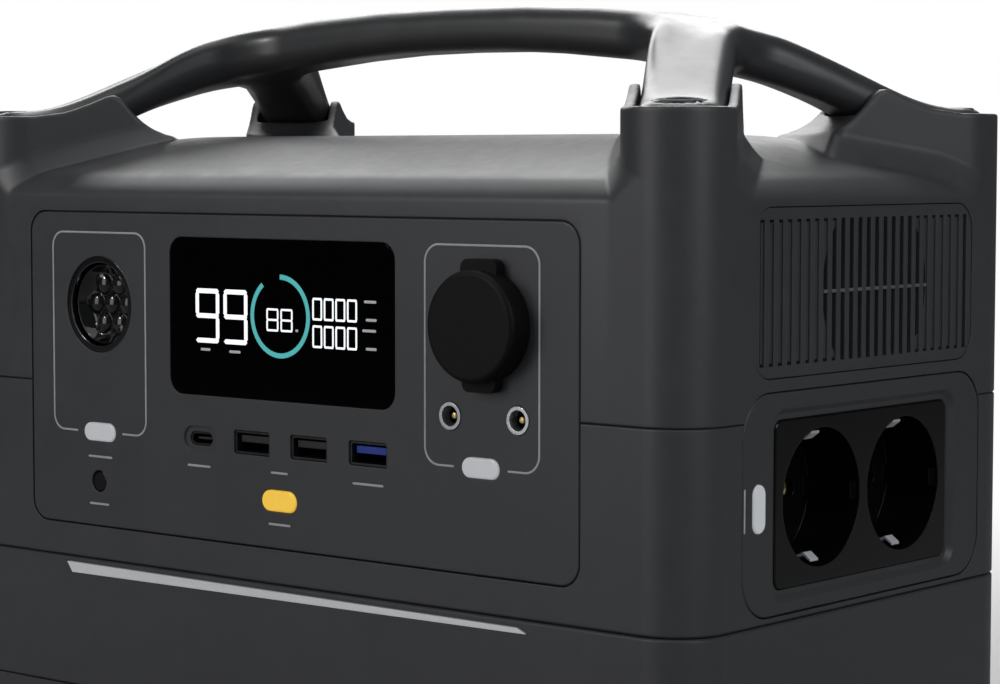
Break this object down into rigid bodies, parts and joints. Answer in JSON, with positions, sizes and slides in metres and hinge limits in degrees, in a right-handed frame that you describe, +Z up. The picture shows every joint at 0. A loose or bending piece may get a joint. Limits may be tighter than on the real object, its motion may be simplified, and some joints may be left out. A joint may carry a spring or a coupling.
{
  "type": "portable power station",
  "caption": "Box-shaped portable power station with arched carry handle on corner posts, display and port panel on the front, recessed mains outlets and fan grille on the side",
  "frame": {"origin": "centre of the underside, on the ground", "axes": "+Z up, front panel faces -Y, mains outlets on the +X side, charging inputs on the -X side"},
  "size_m": [0.2994, 0.176, 0.235],
  "materials": {
    "shell_plastic": "satin moulded",
    "panel_plastic": "satin moulded",
    "handle_plastic": "semi gloss",
    "accent_silver": "satin",
    "display_glass": "gloss",
    "black_gloss": "gloss",
    "rubber_black": "matte",
    "button_silver": "satin",
    "button_amber": "lit",
    "lens_clear": "clear",
    "reflector": "dark mirror",
    "port_metal": "plated",
    "steel": "zinc plated",
    "brass": "plain",
    "tongue_blue": "moulded",
    "tongue_black": "moulded",
    "board_green": "lacquered",
    "cell_wrap": "shrink wrap",
    "holder_plastic": "moulded",
    "aluminium_fin": "extruded",
    "transformer_tape": "taped",
    "cable_red": "silicone",
    "fan_plastic": "moulded"
  },
  "bodies": {
    "housing": {"ac_contacts": "brass", "ac_earth_clips": "port_metal", "ac_inlet": "black_gloss", "ac_panel": "panel_plastic", "ac_socket_plate": "black_gloss", "ac_switch": "tongue_black", "accent_strip": "accent_silver", "base_plate": "shell_plastic", "battery_cells": "cell_wrap", "battery_leads": "cable_red", "bms_board": "board_green", "board_screws": "steel", "button_switches": "tongue_black", "car_socket_barrel": "holder_plastic", "car_socket_contact": "brass", "cell_holders": "holder_plastic", "dc_input": "button_amber", "dc_jack_bodies": "tongue_black", "dc_jack_pins": "brass", "dc_jack_rings": "port_metal", "display_window": "display_glass", "fan_frame": "fan_plastic", "front_panel": "panel_plastic", "handle": "handle_plastic", "handle_screws": "steel", "heat_sink": "aluminium_fin", "input_panel": "panel_plastic", "inverter_board": "board_green", "lamp_led_board": "board_green", "lamp_lens": "lens_clear", "lamp_reflector": "reflector", "lcd_module": "holder_plastic", "left_grille": "shell_plastic", "lower_shell": "shell_plastic", "main_board": "board_green", "module_board": "board_green", "module_bolts": "steel", "module_cell_holders": "holder_plastic", "module_cells": "cell_wrap", "module_connector": "tongue_black", "module_shell": "shell_plastic", "post_caps": "handle_plastic", "right_grille": "shell_plastic", "rubber_feet": "rubber_black", "shell_screws": "steel", "transformer": "transformer_tape", "upper_shell": "shell_plastic", "usb_a_shells": "port_metal", "usb_a_tongues": "tongue_black", "usb_c_shell": "port_metal", "usb_c_tongue": "tongue_black", "usb_fast_tongue": "tongue_blue"},
    "light_button": {"light_button": "button_silver"},
    "reset_button": {"reset_button": "black_gloss"},
    "usb_power_button": {"usb_power_button": "button_amber"},
    "dc_button": {"dc_button": "button_silver"},
    "ac_button": {"ac_button": "button_silver"},
    "car_socket_cover": {"car_socket_cover": "rubber_black"},
    "input_cover": {"input_cover": "rubber_black"},
    "fan_rotor": {"fan_rotor": "fan_plastic"}
  },
  "joints": [
    {"name": "light_button_press", "type": "slide", "parent": "housing", "child": "light_button", "axis": [0, 1, 0], "range_m": [0, 0.001], "stiffness_N_per_m": 400},
    {"name": "reset_button_press", "type": "slide", "parent": "housing", "child": "reset_button", "axis": [0, 1, 0], "range_m": [0, 0.0008], "stiffness_N_per_m": 400},
    {"name": "usb_button_press", "type": "slide", "parent": "housing", "child": "usb_power_button", "axis": [0, 1, 0], "range_m": [0, 0.001], "stiffness_N_per_m": 400},
    {"name": "dc_button_press", "type": "slide", "parent": "housing", "child": "dc_button", "axis": [0, 1, 0], "range_m": [0, 0.001], "stiffness_N_per_m": 400},
    {"name": "ac_button_press", "type": "slide", "parent": "housing", "child": "ac_button", "axis": [-1, 0, 0], "range_m": [0, 0.001], "stiffness_N_per_m": 400},
    {"name": "car_cover_hinge", "type": "hinge", "parent": "housing", "child": "car_socket_cover", "pos_m": [0.08, -0.086, 0.16], "axis": [-1, 0, 0], "range_deg": [0, 120]},
    {"name": "input_cover_hinge", "type": "hinge", "parent": "housing", "child": "input_cover", "pos_m": [-0.1488, 0.006, 0.1152], "axis": [0, 1, 0], "range_deg": [0, 110]},
    {"name": "fan_spin", "type": "hinge", "parent": "housing", "child": "fan_rotor", "pos_m": [0.121, 0.0058, 0.1515], "axis": [1, 0, 0], "continuous": true}
  ]
}
